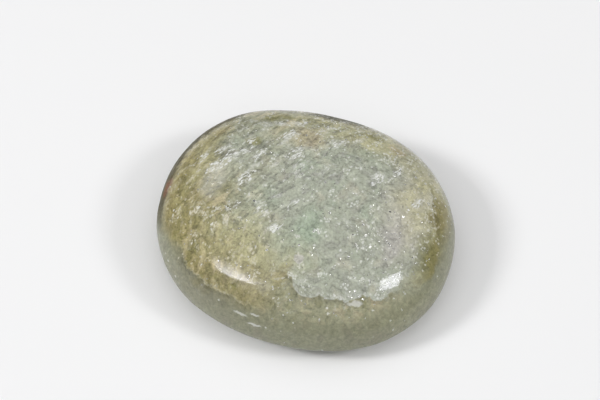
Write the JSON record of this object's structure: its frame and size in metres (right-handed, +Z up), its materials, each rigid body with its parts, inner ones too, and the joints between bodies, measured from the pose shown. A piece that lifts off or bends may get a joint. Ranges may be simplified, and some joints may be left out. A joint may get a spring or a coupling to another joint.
{
  "type": "palm stone",
  "caption": "Flattened oval pebble of sparkling grey-green stone, polished smooth all over, with a low dome on top and a small flat spot underneath to rest on.",
  "frame": {"origin": "on the resting face, under the middle of the stone's bounding box", "axes": "+Z up out of the dome, +X along the stone's length, +Y towards the straighter long side that leans in at the top"},
  "size_m": [0.061, 0.0522, 0.0183],
  "materials": {
    "polished_stone": "polished"
  },
  "bodies": {
    "root": {"palm_stone": "polished_stone"}
  },
  "joints": []
}
